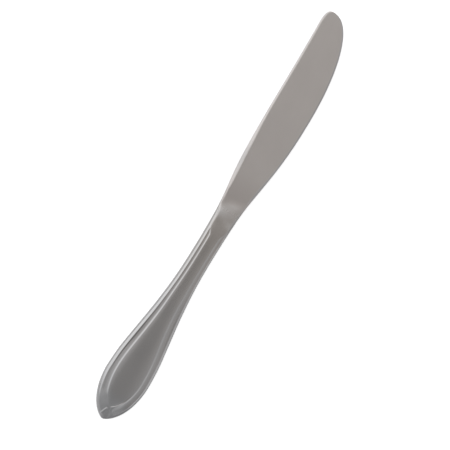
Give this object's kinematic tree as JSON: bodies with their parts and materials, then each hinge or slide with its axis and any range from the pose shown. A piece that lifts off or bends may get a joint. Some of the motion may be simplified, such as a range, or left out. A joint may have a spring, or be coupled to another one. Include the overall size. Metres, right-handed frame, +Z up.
{
  "type": "dessert knife",
  "caption": "Dessert knife with a pear-shaped hollow handle, raised border and pointed butt, a forged bolster and a rounded taper-ground blade for cutting and spreading at table.",
  "frame": {"origin": "under the middle of the knife as it lies on its side, on the surface that the handle rests on", "axes": "+X from the handle's butt to the blade's tip, +Y from the cutting edge to the spine, +Z up, square to the flat of the knife"},
  "size_m": [0.205, 0.0208, 0.0068],
  "materials": {
    "blade_steel": "fine satin grind along the blade",
    "handle_steel": "soft polish with fine scratches",
    "braze_alloy": "ground flush and polished",
    "cement_fill": "rough set cement"
  },
  "bodies": {
    "root": {"blade": "blade_steel", "handle_front_shell": "handle_steel", "handle_back_shell": "handle_steel", "handle_seam_braze": "braze_alloy", "mouth_braze": "braze_alloy", "tang_cement": "cement_fill"}
  },
  "joints": []
}
